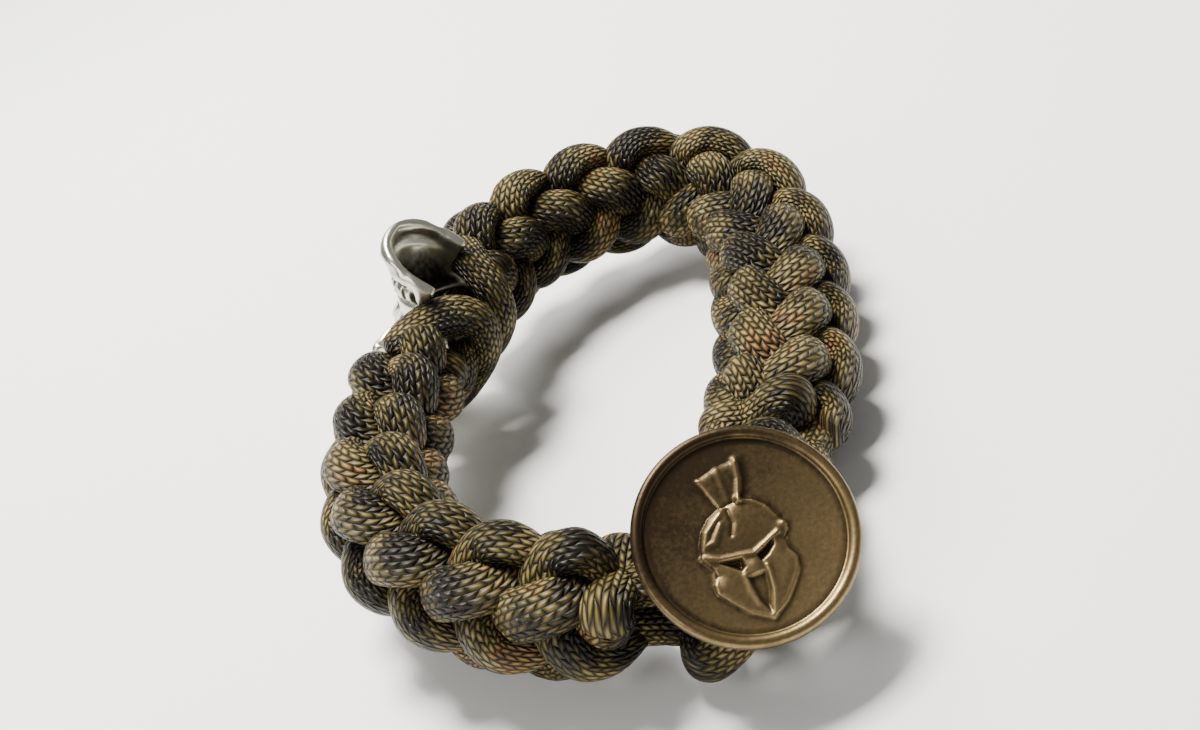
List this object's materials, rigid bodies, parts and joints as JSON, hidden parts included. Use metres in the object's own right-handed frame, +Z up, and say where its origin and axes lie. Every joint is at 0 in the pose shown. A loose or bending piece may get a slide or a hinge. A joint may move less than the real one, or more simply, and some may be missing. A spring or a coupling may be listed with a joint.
{
  "type": "paracord bracelet",
  "caption": "Knotted paracord bracelet with a cast metal skull bead and a round metal button closed by a cord loop.",
  "frame": {"origin": "on the surface that the bracelet rests on, under the middle of its bounding box", "axes": "+X right, away from the skull bead; +Y along the ring's length, from the button to the far bend; +Z up, through the wrist opening"},
  "size_m": [0.0624, 0.0842, 0.0262],
  "materials": {
    "band_cord": "woven camouflage cord",
    "cord": "woven camouflage cord",
    "bead_metal": "polished cast metal with dark recesses",
    "button_metal": "antique brass with a dark patina"
  },
  "bodies": {
    "root": {"knot_band_right": "band_cord", "knot_band_left": "band_cord", "bead_cord_upper": "cord", "bead_cord_lower": "cord", "skull_bead": "bead_metal", "button_cord": "cord", "closing_loop": "cord", "button": "button_metal"}
  },
  "joints": []
}
